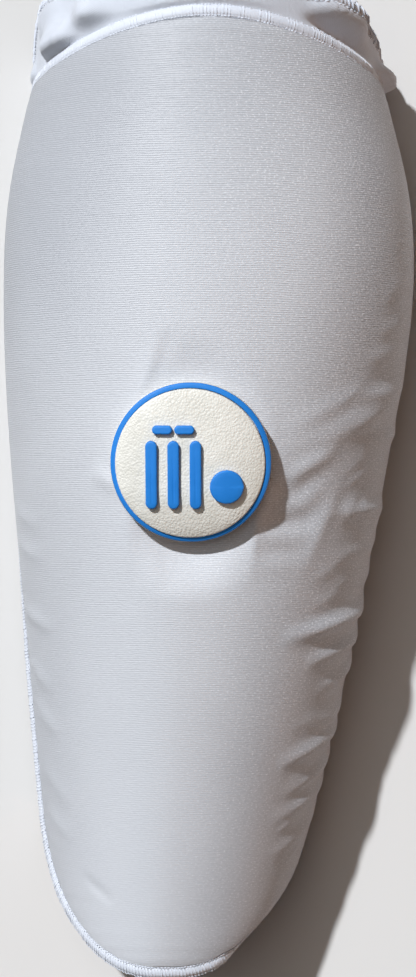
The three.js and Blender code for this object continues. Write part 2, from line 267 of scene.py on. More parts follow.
def makeCoverFinish():
    look, relief, tone = coverLook, coverLook["relief"], coverLook["shade"]
    finish = Finish("ribbed_cover", look["shader"])
    uv = finish.cloth()
    around, along = finish.axis(uv, "X"), finish.axis(uv, "Y")

    def speckle(name, detail, roughness=0.5):
        return finish.noise(finish.scaled(uv, look[name]), 1.0, detail, roughness)

    drift = finish.noise(uv, look["driftScale"], 3.0) * look["drift"]
    rib = ((along + drift) * (math.tau / look["ribPitch"])).math("SINE")
    wale = (around * (math.tau / look["walePitch"])).math("SINE")
    runs = finish.ramp(speckle("runs", 3.0, 0.6), *look["runRange"])
    glint = speckle("glints", 2.0)
    # painted highlight: bright specks in the cover's colour, towards the right where the light grazes
    paintedSpark = finish.ramp(speckle("paintedSparks", 1.0), *look["paintedSparkRange"])
    paintedSpark = paintedSpark * finish.ramp(around, *look["paintedSparkFrom"])
    patch = finish.noise(uv, look["patchScale"], 3.0)
    opened = finish.ramp(along, *look["taut"]) * (1 - look["tautest"]) + look["tautest"]
    glow = opened * (1 - look["dullest"]) + look["dullest"]
    # the right side, where the courses give way to a grain and painted shade darkens the cover
    grain = finish.ramp(around - along * look["grainAndShadeSlant"], *look["grainAndShadeFrom"])
    # painted shade: the cover darkened towards the elbow's left
    elbowShade = finish.ramp(along - around * look["elbowShadeSlant"], *look["elbowShade"])
    flankShade = finish.ramp(around * -1.0, *look["flankShadeFrom"])
    course = rib * (runs * 0.5 + 0.5) * opened * (1.0 - grain * 0.5)
    height = course * relief["course"] + wale * course * relief["wale"] + glint * glow * relief["glint"]
    shade = tone["middle"] + course * tone["course"]
    shade = shade + (glint - 0.5) * (tone["glint"] + grain * tone["grainGlint"]) * glow
    shade = shade + (patch - 0.5) * tone["patch"] + paintedSpark * glow * tone["paintedSpark"] + opened * tone["opened"]
    # painted shade: the grain weight darkens the right side, where the light grazes
    shade = shade - elbowShade * tone["elbowShade"] - grain * tone["grain"]
    # painted shade on the left flank, strongest towards the wrist
    shade = shade - flankShade * (tone["flankShade"] - opened * tone["openedFlankShade"])
    return finish.dress(look, shade, glint, height)


sleeveLook = {
    "shader": {"Sheen Weight": 0.3, "Sheen Roughness": 0.5, "Specular IOR Level": 0.3},
    "light": rgb(0.55, 0.585, 0.65),
    "dark": rgb(0.51, 0.545, 0.61),
    "pitch": 0.7,  # millimetres between loops of the knit
    "fuzz": 2.2,
    "shade": {"loops": 0.2, "fuzz": 0.8},
    "relief": {"loops": 0.5, "fuzz": 0.6},
    "roughness": (0.6, 0.2),
    "depth": 0.00006,
}


def makeSleeveFinish():
    look = sleeveLook
    finish = Finish("plain_sleeve", look["shader"])
    uv = finish.cloth()
    turn = math.tau / look["pitch"]
    loops = (finish.axis(uv, "X") * turn).math("SINE") * (finish.axis(uv, "Y") * turn).math("SINE")
    fuzz = finish.noise(uv, look["fuzz"], 3.0)
    shade, height = [loops * look[use]["loops"] + fuzz * look[use]["fuzz"] for use in ("shade", "relief")]
    return finish.dress(look, shade, fuzz, height)


threadLook = {
    "shader": {"Sheen Weight": 0.3, "Specular IOR Level": 0.4},
    "light": rgb(0.60, 0.635, 0.705),
    "dark": rgb(0.53, 0.565, 0.635),
    "fibre": 2600.0,
    "tint": 90.0,
    "roughness": (0.45, 0.25),
    "depth": 0.00006,
}


def makeThreadFinish():
    finish = Finish("overlock_thread", threadLook["shader"])
    place = finish.place()
    fibre = finish.noise(place, threadLook["fibre"])
    tint = finish.noise(place, threadLook["tint"])
    return finish.dress(threadLook, fibre * 0.5 + tint * 0.5, fibre, fibre)


creamLook = {
    "shader": {"Specular IOR Level": 0.45},
    "light": rgb(0.70, 0.693, 0.645),
    "dark": rgb(0.61, 0.60, 0.545),
    "grain": 1700.0,
    "warpScale": 700.0,
    "warp": 0.0006,  # metres that the grain is pushed about
    "broad": 420.0,
    "dust": 120.0,
    "dustRange": (0.3, 0.9),
    "relief": {"pebble": 0.7, "broad": 0.5},
    "roughness": (0.4, 0.2),
    "depth": 0.00017,
}


def makeCreamFinish():
    look, relief = creamLook, creamLook["relief"]
    finish = Finish("badge_cream", look["shader"])
    place = finish.place()
    swirling = {"Vector": place, "Scale": look["warpScale"], "Detail": 2.0}
    swirl = finish.node("ShaderNodeTexNoise", {}, swirling, "Color")
    warping = {0: swirl, 1: (look["warp"],) * 3, 2: place}
    warped = finish.node("ShaderNodeVectorMath", {"operation": "MULTIPLY_ADD"}, warping)
    grained = {"Vector": warped, "Scale": look["grain"]}
    pebble = finish.node("ShaderNodeTexVoronoi", {"feature": "F1"}, grained, "Distance")
    broad = finish.noise(place, look["broad"], 3.0)
    dust = finish.noise(place, look["dust"], 4.0, 0.6)
    height = (1 - pebble) * relief["pebble"] + broad * relief["broad"]
    return finish.dress(look, finish.ramp(dust + broad * 0.3, *look["dustRange"]), dust, height)


blueLook = {
    "shader": {"Specular IOR Level": 0.3},
    "light": rgb(0.016, 0.205, 0.63),
    "dark": rgb(0.010, 0.165, 0.54),
    "mottle": 260.0,
    "grain": 1900.0,
    "roughness": (0.42, 0.18),
    "depth": 0.00004,
}


def makeBlueFinish():
    finish = Finish("badge_blue", blueLook["shader"])
    place = finish.place()
    mottle = finish.noise(place, blueLook["mottle"], 3.0)
    fine = finish.noise(place, blueLook["grain"])
    return finish.dress(blueLook, mottle, mottle, fine)


print("finishes")
finishes = {
    "cover": makeCoverFinish(),
    "sleeve": makeSleeveFinish(),
    "thread": makeThreadFinish(),
    "badge_cream": makeCreamFinish(),
    "badge_blue": makeBlueFinish(),
}

# shield form, in millimetres along the guard's own axes

shield = {
    "wrist": {"tip": -123, "roundFrom": -85, "power": 2.4},
    "elbow": {"tip": 118, "roundFrom": 101, "power": 1.7},
    "thickness": 11,
    "edgeDrop": 0.6,
    "edgeThickness": 1.6,
    "edgeBand": 7,
    "edgeHeight": 5,
    "tuckFade": 12,
    "tipInset": 0.15,
    "sections": table(  # widest points, crest height, and degrees round from the crest to each sewn edge
        "y left right crest turnLeft turnRight",
        (-123, -40.6, 18.5, 36, 68, 98),
        (-85, -44.4, 27.8, 43, 68, 102),
        (-46, -48.1, 37, 50.5, 74, 105),
        (2, -52.1, 46.3, 58, 90, 106),
        (50, -53.7, 53.7, 62, 103, 106),
        (75, -52.5, 53, 61.8, 104, 105),
        (101, -47.4, 47.3, 59.5, 104, 104),
        (124, -42, 42, 56.5, 104, 104),
    ),
}
badge = {"y": 6.5, "turn": -2, "radius": 20, "sink": 1.6, "seatBlend": 16, "gap": 0.3}
# radii by which the badge's sides and lower part follow the shield down
badgeBend = {"left": 70, "right": 46, "fromSide": 6, "below": 40, "fromBelow": -6}
nudge = 1e-3


def readTable(rows, key):
    places = np.array([row[key] for row in rows], float)

    def column(name):
        values = np.array([row[name] for row in rows], float)
        steps = np.diff(values) / np.diff(places)
        slopes = np.concatenate([steps[:1], (steps[1:] + steps[:-1]) / 2, steps[-1:]])
        return values, slopes

    columns = {name: column(name) for name in rows[0] if name != key}

    def at(place):
        place = np.clip(place, places[0], places[-1])
        i = np.clip(np.searchsorted(places, place, side="right") - 1, 0, len(places) - 2)
        step = places[i + 1] - places[i]
        t = (place - places[i]) / step
        found = {}
        for name, (values, slopes) in columns.items():
            rising = t * t * (3 - 2 * t)
            bend = t * (1 - t) * step * ((1 - t) * slopes[i] - t * slopes[i + 1])
            found[name] = values[i] * (1 - rising) + values[i + 1] * rising + bend
        return found

    return at


sectionAt = readTable(shield["sections"], "y")


def smoothStep(value, low, high):
    t = np.clip((value - low) / (high - low), 0, 1)
    return t * t * (3 - 2 * t)


def unit(vectors):
    return vectors / np.maximum(np.linalg.norm(vectors, axis=-1, keepdims=True), 1e-12)


def tangents(loop):
    return unit(np.roll(loop, -1, axis=0) - np.roll(loop, 1, axis=0))


def runAlong(line):
    return np.concatenate([[0], np.cumsum(np.linalg.norm(np.diff(line, axis=0), axis=1))])


def outlineShare(y):
    shares = []
    for end in (shield["wrist"], shield["elbow"]):
        along = np.clip((y - end["roundFrom"]) / (end["tip"] - end["roundFrom"]), 0, 1)
        shares.append((1 - along ** end["power"]) ** (1 / end["power"]))
    return np.minimum(*shares)


def shieldSide(y, side):
    found = sectionAt(y)
    full = np.radians(np.where(side < 0, found["turnLeft"], found["turnRight"]))
    half = (found["right"] - found["left"]) / 2 / np.sin(np.minimum(full, quarterTurn))
    rise = (found["crest"] - shield["edgeHeight"]) / (1 - np.cos(full))
    centre = (found["left"] + found["right"]) / 2
    return {"centre": centre, "crest": found["crest"], "full": full, "half": half, "rise": rise}


def shieldPoint(turn, y):
    turn, y = np.broadcast_arrays(np.asarray(turn, float), np.asarray(y, float))
    side = shieldSide(y, turn)
    x = side["centre"] + side["half"] * np.sin(turn)
    z = side["crest"] - side["rise"] * (1 - np.cos(turn))
    return np.stack([x, y, z], axis=-1)


def shieldNormal(turn, y):
    across = shieldPoint(turn + nudge, y) - shieldPoint(turn - nudge, y)
    along = shieldPoint(turn, y + nudge) - shieldPoint(turn, y - nudge)
    return unit(np.cross(across, along))


def edgeTurn(y, side):
    full = shieldSide(y, side)["full"]
    share = outlineShare(y)
    upper = np.arcsin(share * np.sin(np.minimum(full, quarterTurn)))
    return upper + np.maximum(full - quarterTurn, 0) * share ** shield["tuckFade"]


def alongShield(share):
    tips = shield["wrist"]["tip"], shield["elbow"]["tip"]
    reach = (tips[1] - tips[0]) / 2 - shield["tipInset"]
    return sum(tips) / 2 - reach * np.cos(math.pi * share)


def unrolled(turn, y):
    turn, y = np.broadcast_arrays(np.asarray(turn, float), np.asarray(y, float))
    return np.stack([shieldSide(y, turn)["half"] * turn, y], axis=-1)


def makeOutline(steps=240, across=24):
    y = alongShield(np.linspace(0, 1, steps + 1))
    sides = [unrolled(side * edgeTurn(y, side), y) for side in (-1, 1)]
    tips = [np.linspace(sides[0][end], sides[1][end], across) for end in (0, -1)]
    return np.concatenate([*sides, *tips])


unrolledOutline = makeOutline()


def edgeDistance(turn, y, batch=2000):
    here = unrolled(turn, y)
    flat = here.reshape(-1, 2)
    nearest = [
        np.linalg.norm(part[:, None] - unrolledOutline[None], axis=-1).min(axis=1)
        for part in np.array_split(flat, max(1, len(flat) // batch))
    ]
    return np.concatenate(nearest).reshape(here.shape[:-1])


def edgeRounding(distance):
    nearness = np.clip(1 - distance / shield["edgeBand"], 0, 1)
    return 1 - np.sqrt(1 - nearness ** 2)


badgeTurn = math.radians(badge["turn"])
badgeUp = shieldNormal(badgeTurn, badge["y"])
badgeSeat = shieldPoint(badgeTurn, badge["y"]) - badgeUp * badge["sink"]


def badgeFrame():
    forward = np.array([0.0, 1.0, 0.0])
    forward = unit(forward - badgeUp * (forward @ badgeUp))
    right = np.cross(forward, badgeUp)
    return np.stack([right, forward, badgeUp])


badgeAxes = badgeFrame()


def bendDrop(right, forward):
    beyond = np.maximum(abs(right) - badgeBend["fromSide"], 0)
    below = np.minimum(forward - badgeBend["fromBelow"], 0)
    side = np.where(right > 0, badgeBend["right"], badgeBend["left"])
    return beyond ** 2 / 2 / side + below ** 2 / 2 / badgeBend["below"]


def pressUnderBadge(points):
    right, forward, above = np.moveaxis((points - badgeSeat) @ badgeAxes.T, -1, 0)
    fromAxis = np.hypot(right, forward)
    pressed = 1 - smoothStep(fromAxis, badge["radius"], badge["radius"] + badge["seatBlend"])
    within = np.minimum(1, badge["radius"] / np.maximum(fromAxis, 1e-6))
    depth = np.maximum(above + bendDrop(right * within, forward * within), 0)
    return points - (depth * pressed)[..., None] * badgeUp


def sewnEdge(turn, y):
    normal = shieldNormal(turn, y)
    depth = shield["edgeDrop"] + shield["edgeThickness"] / 2
    return shieldPoint(turn, y) - normal * depth, normal


# the frame says where the form lies
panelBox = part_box("back_panel")
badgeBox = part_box("badge_base")
panelWristEnd = -86
shiftX = (badgeBox[0][0] + badgeBox[1][0]) / 2 - badgeSeat[0] * mm
shiftY = panelBox[0][1] - panelWristEnd * mm
print(f"form shifted by {shiftX / mm:.2f} and {shiftY / mm:.2f} mm into the frame")


def toFrame(points):
    return np.asarray(points, float) * mm + np.array([shiftX, shiftY, 0])


def makePiece(name, points, faces, slot, uv=None):
    mesh = bpy.data.meshes.new(name)
    mesh.from_pydata(toFrame(points).tolist(), [], faces)
    if uv is not None:
        layer = mesh.uv_layers.new(name="cloth")
        corners = np.array([loop.vertex_index for loop in mesh.loops])
        layer.data.foreach_set("uv", np.asarray(uv, np.float32)[corners].ravel())
    mesh.materials.append(finishes[slot])
    mesh.polygons.foreach_set("use_smooth", [True] * len(mesh.polygons))
    mesh.update()
    return addObject(name, mesh)


def thicken(piece, thickness):
    solid = piece.modifiers.new("thickness", "SOLIDIFY")
    solid.thickness = thickness * mm
    solid.offset = 0


def gridFaces(rows, columns, start=0, flip=False, wrapRows=False, wrapColumns=False):
    faces = []
    for row in range(rows if wrapRows else rows - 1):
        for column in range(columns if wrapColumns else columns - 1):
            nextRow, nextColumn = (row + 1) % rows, (column + 1) % columns
            face = [
                start + row * columns + column,
                start + row * columns + nextColumn,
                start + nextRow * columns + nextColumn,
                start + nextRow * columns + column,
            ]
            faces.append(face[::-1] if flip else face)
    return faces


def placeInFrame(piece, slot, *nodes):
    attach(piece, guardBody)
    if nodes:
        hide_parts(*nodes)


# padded shield: a foam form under a slack cover that buckles on it

padMesh = {
    "rows": 160,
    "columns": 100,
    "evenness": 0.55,  # 1 spaces rows evenly, 0 packs them at the ends
    "liningStep": 4,
}
coverCloth = {
    "frames": 24,
    "quality": 8,
    "grow": 0.05,  # metres of simulation for each millimetre
    "mass": 0.15,
    "stretch": 12.0,
    "bend": 4.0,
    "damping": 3.0,
    "foam": 0.05,  # how firmly the foam holds the cover, where 1 is glued
    "slack": 0.022,  # spare cloth in the folds, as a share
    "start": 0.6,
    "air": 2.0,
    "sewn": (0.2, 3),  # glued at the sewn edge, under the badge and at the tips
    "badge": (17, 22),
    "ends": ((-116, -98), (84, 104)),
}
# soft ridges of slack cover between two places, by degrees round from the crest
coverFolds = table(
    "turn y toTurn toY width height",
    (25, 8, 104, 34.0, 4, 0.66),
    (27, 2, 46, 11, 2.4, 0.4),
    (20, -3, 42, -12, 10, -1.1),
    (24, 14, 56, 27, 3.0, 0.25),
    (47, 22, 80, 27, 2.2, 0.4),
    (55, 12, 104, 16.1, 2, 0.66),
    (50, 32, 76, 37, 2.4, 0.3),
    (54, 39, 82, 44, 2.4, 0.3),
    (56, 50, 80, 55, 2.8, 0.2),
    (44, -6.4, 104, -4.7, 2.4, 1.04),
    (55, -12, 104, -6.7, 2.2, 0.5),
    (48, -19, 104, -9.6, 2.4, 0.5),
    (60, -26, 110, -17.8, 2.2, 0.44),
    (32, -38.5, 102, -27.8, 2.4, 1.49),
    (44, -45, 102, -35.1, 2, 1.26),
    (54, -52.5, 104, -40.5, 2, 0.99),
    (50, -62, 104, -53.7, 2.2, 0.72),
    (40, -71, 106, -56.8, 2.6, 1.1),
    (46, -79, 106, -65.2, 2.0, 0.77),
    (42, -86, 106, -71.1, 2.4, 0.83),
    (46, -96, 102, -78.5, 2.6, 0.55),
    (-80, -5, -56, -10, 2.4, 0.3),
    (-78, -14, -54, -19, 2.2, 0.28),
    (-76, -31, -50, -37, 2.2, 0.42),
    (-71, -45, -52, -53, 2.2, 0.32),
    (-67, -56, -48, -65, 2.4, 0.3),
    (-65, -71, -44, -83, 2.6, 0.25),
    (-62, -84, -44, -92, 2.4, 0.22),
    (-40, -100, -24, -107, 1.6, -0.3),
    (-9.5, 40, -14.5, 24, 2.0, -0.35),
    (-12, 36, -19, 20, 2.4, 0.3),
    (-33, 5, -22, -1, 2.2, 0.4),
    (-8, -24, -16, -12, 2.6, 0.25),
)
# fine creases that lie between them on the shaded side
creases = {
    "count": 110,
    "turn": (40, 86),
    "y": (-98, 48),
    "spanTurn": (8, 22),
    "climb": (1.5, 6.5),
    "width": (0.8, 1.8),
    "height": (0.06, 0.2),
    "steep": 0.55,  # the lower side of a fold is this much narrower
    "crisp": 0.5,  # share of a fold that is pressed in after the cloth has settled
    "calm": (72, 92),  # degrees round over which folds flatten towards the outline
    "calmest": 0.12,
    "slackWidth": 1.8,  # how much wider than a fold its spare cloth reaches
    "clear": (0.5, 6),  # millimetres in from the sewn edge over which they rise
    "seed": 8,
}
# the sewn edge draws the cover into small puckers
puckers = {"pitch": 4.3, "stretches": (0.71, 1.0, 1.37), "lean": 3, "reach": 5.0, "height": 0.06, "seed": 11}


def fineCreases():
    random = np.random.default_rng(creases["seed"])
    rows = []
    for _ in range(creases["count"]):
        turn, y = random.uniform(*creases["turn"]), random.uniform(*creases["y"])
        rows.append({
            "turn": turn,
            "y": y,
            "toTurn": turn + random.uniform(*creases["spanTurn"]),
            "toY": y + random.uniform(*creases["climb"]),
            "width": random.uniform(*creases["width"]),
            "height": random.uniform(*creases["height"]),
        })
    return rows


def chartFolds(rows, here, steep=1.0):
    # the folds' height over the foam, and the share of spare cloth that they hold
    height = np.zeros(here.shape[:-1])
    slack = np.zeros(here.shape[:-1])
    for fold in rows:
        start = unrolled(math.radians(fold["turn"]), fold["y"])
        run = unrolled(math.radians(fold["toTurn"]), fold["toY"]) - start
        offset = here - start
        share = np.clip(offset @ run / (run @ run), 0, 1)
        below = run[0] * offset[..., 1] < run[1] * offset[..., 0]
        distance = np.linalg.norm(offset - share[..., None] * run, axis=-1) / fold["width"]
        distance = np.where(below, distance / steep, distance)
        swell = np.sin(math.pi * share)
        height += fold["height"] * swell * np.exp(-(distance ** 2))
        spare = min(1, abs(fold["height"])) * swell * np.exp(-((distance / creases["slackWidth"]) ** 2))
        slack = np.maximum(slack, spare)
    return height, slack


def puckerHeight(turn, y, distance):
    random = np.random.default_rng(puckers["seed"])
    waves = np.zeros(turn.shape)
    for stretch in puckers["stretches"]:
        phase = random.uniform(0, math.tau)
        along = y * math.tau / puckers["pitch"] * stretch
        waves += np.sin(along + np.sign(turn) * turn * puckers["lean"] + phase) / len(puckers["stretches"])
    return puckers["height"] * waves * np.clip(distance, 0, 1) * np.exp(-distance / puckers["reach"])


def padGrid():
    share = np.linspace(0, 1, padMesh["rows"] + 1)
    even = np.arccos(1 - 2 * share) / math.pi
    y = alongShield(share + (even - share) * padMesh["evenness"])[:, None]
    across = np.linspace(-1, 1, padMesh["columns"] + 1)[None, :]
    turn = across * np.where(across < 0, edgeTurn(y, -1), edgeTurn(y, 1))
    return turn, np.broadcast_to(y, turn.shape).copy()


def evaluatedMesh(obj):
    return bpy.data.meshes.new_from_object(obj.evaluated_get(bpy.context.evaluated_depsgraph_get()))


def held(firmness):
    # cloth is pinned by the fourth power of a point's weight
    return firmness ** 0.25


def simulate(name, points, spare, hold, faces, cloth, levels=40):
    # settles a sheet given in millimetres, with spare cloth by weight, and returns where its points come to
    grow = cloth["grow"]
    mesh = bpy.data.meshes.new(name)
    mesh.from_pydata((points * grow).tolist(), [], faces)
    sheet = addObject(name, mesh)
    for label, weights in (("held", hold), ("taut", 1 - spare)):
        group = sheet.vertex_groups.new(name=label)
        steps = np.round(weights * levels) / levels
        for level in np.unique(steps):
            group.add(np.flatnonzero(steps == level).tolist(), float(level), "REPLACE")
    modifier = sheet.modifiers.new("cloth", "CLOTH")
    settings = modifier.settings
    settings.quality = cloth["quality"]
    settings.mass = cloth["mass"]
    settings.tension_stiffness = settings.compression_stiffness = cloth["stretch"]
    settings.shear_stiffness = cloth["stretch"] / 2
    settings.bending_stiffness = cloth["bend"]
    settings.tension_damping = settings.compression_damping = cloth["damping"]
    settings.shear_damping = cloth["damping"]
    settings.air_damping = cloth["air"]
    settings.vertex_group_mass = "held"
    settings.pin_stiffness = 1.0
    settings.vertex_group_shrink = "taut"
    settings.shrink_min = -cloth["slack"]
    settings.shrink_max = 0
    settings.effector_weights.gravity = 0
    modifier.collision_settings.use_collision = False
    modifier.point_cache.frame_start = 1
    modifier.point_cache.frame_end = cloth["frames"]
    for number in range(1, cloth["frames"] + 1):
        scene.frame_set(number)
    settled = evaluatedMesh(sheet)
    found = np.empty(len(settled.vertices) * 3, np.float32)
    settled.vertices.foreach_get("co", found)
    bpy.data.objects.remove(sheet)
    bpy.data.meshes.remove(settled)
    bpy.data.meshes.remove(mesh)
    scene.frame_set(1)
    moved = found.reshape(-1, 3) / grow
    shift = np.linalg.norm(moved - points, axis=1)
    print(f"{name} settled, moving {shift.mean():.2f} mm on average and {shift.max():.2f} mm at most")
    return moved


def refined(grid, axis):
    # doubles the rows of a grid with the four-point rule
    grid = np.moveaxis(grid, axis, 0)
    padded = np.concatenate([2 * grid[:1] - grid[1:2], grid, 2 * grid[-1:] - grid[-2:-1]])
    middle = (9 * (padded[1:-2] + padded[2:-1]) - padded[:-3] - padded[3:]) / 16
    fine = np.empty((2 * len(grid) - 1, *grid.shape[1:]))
    fine[::2] = grid
    fine[1::2] = middle
    return np.moveaxis(fine, 0, axis)


def borderOf(rows, columns):
    ring = list(range(columns - 1))
    ring += [row * columns + columns - 1 for row in range(rows - 1)]
    ring += [(rows - 1) * columns + column for column in range(columns - 1, 0, -1)]
    ring += [row * columns for row in range(rows - 1, 0, -1)]
    return ring


def settleCover(outer, spare, distance, fromBadge, y):
    wrist, elbow = coverCloth["ends"]
    sewn = 1 - smoothStep(distance, *coverCloth["sewn"])
    underBadge = 1 - smoothStep(fromBadge, *coverCloth["badge"])
    atTips = np.maximum(1 - smoothStep(y, *wrist), smoothStep(y, *elbow))
    glued = np.maximum(np.maximum(sewn, underBadge), atTips)
    least = held(coverCloth["foam"])
    hold = least + (1 - least) * glued
    faces = gridFaces(*outer.shape[:2])
    settled = simulate("cover_sheet", outer.reshape(-1, 3), spare.ravel(), hold.ravel(), faces, coverCloth)
    return settled.reshape(outer.shape)


def makePad():
    turn, y = padGrid()
    distance = edgeDistance(turn, y)
    rounding = edgeRounding(distance)[..., None]
    normal = shieldNormal(turn, y)
    face = shieldPoint(turn, y)
    chart = unrolled(turn, y)
    height, spare = chartFolds(coverFolds, chart)
    calm = 1 - (1 - creases["calmest"]) * smoothStep(np.degrees(abs(turn)), *creases["calm"])
    folds = (height * calm)[..., None] * (1 - rounding)
    drop = shield["edgeDrop"] * rounding
    outer = pressUnderBadge(face + normal * (folds * coverCloth["start"] - drop))
    outer = settleCover(outer, spare, distance, np.linalg.norm(face - badgeSeat, axis=-1), y)
    outer = outer + normal * puckerHeight(turn, y, distance)[..., None]
    inPlay = smoothStep(distance, *creases["clear"]) * calm
    fine, fineNormal, cloth, away = [refined(refined(grid, 0), 1) for grid in (outer, normal, chart, inPlay)]
    crisp = chartFolds(coverFolds, cloth, creases["steep"])[0] * creases["crisp"]
    crisp += chartFolds(fineCreases(), cloth, creases["steep"])[0]
    fine = fine + fineNormal * (crisp * away)[..., None]
    # a coarser lining closes it underneath
    step = padMesh["liningStep"]
    edgeDepth = shield["edgeDrop"] + shield["edgeThickness"]
    inner = face - normal * (shield["thickness"] + (edgeDepth - shield["thickness"]) * rounding)
    lining = inner[:: step // 2, :: step // 2]
    start = fine.shape[0] * fine.shape[1]
    faces = gridFaces(*fine.shape[:2]) + gridFaces(*lining.shape[:2], start, flip=True)
    ring = borderOf(*fine.shape[:2])
    liningRing = borderOf(*lining.shape[:2])
    for i, a in enumerate(liningRing):
        b = liningRing[(i + 1) % len(liningRing)]
        outside = [ring[(i * step + k) % len(ring)] for k in range(step + 1)]
        faces.append([*outside[::-1], start + a, start + b])
    points = np.concatenate([fine.reshape(-1, 3), lining.reshape(-1, 3)])
    uv = np.concatenate([cloth.reshape(-1, 2), cloth[::step, ::step].reshape(-1, 2)])
    pad = makePiece("pad_cover", points, faces, "cover", uv)
    placeInFrame(pad, "cover", "front_pad")


print("padded shield")
makePad()

# overlocked edge

edgeSeam = {
    "clear": 0.2,
    "halfReach": 1.4,
    "halfThickness": 0.7,
    "spacing": 1.4,
    "steps": 900,
    "tipSteps": 40,
    "sides": 10,
    "core": 1.02,  # the roll under the threads, as a share of the seam
    "archCore": 1.16,  # the same round the elbow end, where the threads sink in
    "archFrom": (80, 100),
    "under": 60,  # degrees that it turns under the shield at the wrist's right
    "underRight": (0, 11),
    "underWrist": (70, 85),
    "raise": 0.35,
    "level": 0.28,  # how far the left side turns out level, so that it shows from above
    "levelFrom": (8, 50),  # millimetres towards the wrist
    "levelTo": (104, 118),
    "pitch": 0.85,
    "jitter": 0.08,
    "seed": 3,
}
stitch = {
    "thread": 0.24,
    "sides": 4,
    "turns": 9,
    "start": -0.12,  # a turn of the looper thread overlaps its own end by this share
    "slant": (-0.55, 0.1, 0.55),
    "knot": [(1.02, -0.5, 0.0), (1.18, 0.0, 0.12), (1.02, 0.5, 0.0)],  # shares of reach and pitch, and height
    "knotThread": 1.1,
    "aside": (0.3, 0.2, 1.0),  # a direction that no thread runs in
    "needle": [(-0.9, -0.48, 0.25), (-0.9, 0.0, 0.42), (-0.9, 0.48, 0.25)],
}
stitchInputs = {
    "Path": "Geometry",
    "Stitch": "Object",
    "Pitch": "Float",
    "Jitter": "Float",
    "Seed": "Int",
    "Thread": "Material",
}


def resampled(points, spacing):
    loop = np.concatenate([points, points[:1]])
    run = runAlong(loop[:, :3])
    count = max(8, round(run[-1] / spacing))
    places = np.linspace(0, run[-1], count, endpoint=False)
    return np.stack([np.interp(places, run, loop[:, i]) for i in range(loop.shape[1])], axis=-1)


def edgePath():
    look = edgeSeam
    y = alongShield(np.linspace(0, 1, look["steps"]))
    left, right = -edgeTurn(y, -1), edgeTurn(y, 1)
    elbowTip = np.linspace(left[-1], right[-1], look["tipSteps"])[1:-1]
    wristTip = np.linspace(right[0], left[0], look["tipSteps"])[1:-1]
    turns = np.concatenate([left, elbowTip, right[::-1], wristTip])
    ys = np.concatenate([y, np.full(len(elbowTip), y[-1]), y[::-1], np.full(len(wristTip), y[0])])
    edge, normal = sewnEdge(turns, ys)
    path = resampled(np.concatenate([edge, normal], axis=1), look["spacing"])
    edge, normal = path[:, :3], unit(path[:, 3:])
    along = tangents(edge)
    out = unit(np.cross(normal, along))
    toWrist = -edge[:, 1]
    level = smoothStep(toWrist, *look["levelFrom"]) * (1 - smoothStep(toWrist, *look["levelTo"]))
    level *= look["level"] * (out[:, 0] < 0)
    out = unit(out + (np.array([-1.0, 0, 0]) - out) * level[:, None])
    under = math.radians(look["under"]) * smoothStep(edge[:, 0], *look["underRight"])
    under = (under * smoothStep(toWrist, *look["underWrist"]))[:, None]
    out = np.cos(under) * out - np.sin(under) * unit(np.cross(along, out))
    return edge, out, unit(np.cross(along, out))


def makeRoll(name, centre, out, up, look, core):
    width, height, sides = look["halfReach"] * core, look["halfThickness"] * core, look["sides"]
    angle = np.linspace(0, math.tau, sides, endpoint=False)[None, :, None]
    ring = centre[:, None] + np.cos(angle) * out[:, None] * width + np.sin(angle) * up[:, None] * height
    count = len(centre)
    uv = np.stack(np.broadcast_arrays(np.arange(count)[:, None], angle[..., 0]), axis=-1)
    faces = gridFaces(count, sides, flip=True, wrapRows=True, wrapColumns=True)
    return makePiece(name, ring.reshape(-1, 3), faces, "thread", uv.reshape(-1, 2))


def tube(path, radius, sides):
    # a thread along a path, closed at both ends
    along = unit(np.gradient(path, axis=0))
    first = unit(np.cross(along, np.array(stitch["aside"])))
    second = np.cross(along, first)
    angle = np.linspace(0, math.tau, sides, endpoint=False)[None, :, None]
    ring = path[:, None] + radius * (np.cos(angle) * first[:, None] + np.sin(angle) * second[:, None])
    count = len(path)
    faces = gridFaces(count, sides, wrapColumns=True)
    faces += [list(range(sides))[::-1], [(count - 1) * sides + i for i in range(sides)]]
    return ring.reshape(-1, 3), faces


def makeStitch(name, width, height, pitch):
    # x across the edge, y along it, z up: one turn of the loopers, its edge knot and its needle stitch
    start, thread = stitch["start"], stitch["thread"]
    turn = np.linspace(start, 1.0, stitch["turns"])
    angle = math.pi - turn * math.tau
    slant = np.interp(turn, (start, 0.5, 1.0), stitch["slant"])
    looper = np.stack([np.cos(angle) * width, slant * pitch, np.sin(angle) * height], axis=-1)
    knot, needle = [np.array(stitch[part]) * (width, pitch, 1) for part in ("knot", "needle")]
    points, faces = [], []
    for path, radius in ((looper, thread), (knot, thread * stitch["knotThread"]), (needle, thread)):
        ring, quads = tube(path, radius, stitch["sides"])
        start = sum(len(part) for part in points)
        points.append(ring)
        faces += [[start + i for i in face] for face in quads]
    mesh = bpy.data.meshes.new(name)
    mesh.from_pydata((np.concatenate(points) * mm).tolist(), [], faces)
    mesh.polygons.foreach_set("use_smooth", [True] * len(mesh.polygons))
    return addObject(name, mesh)


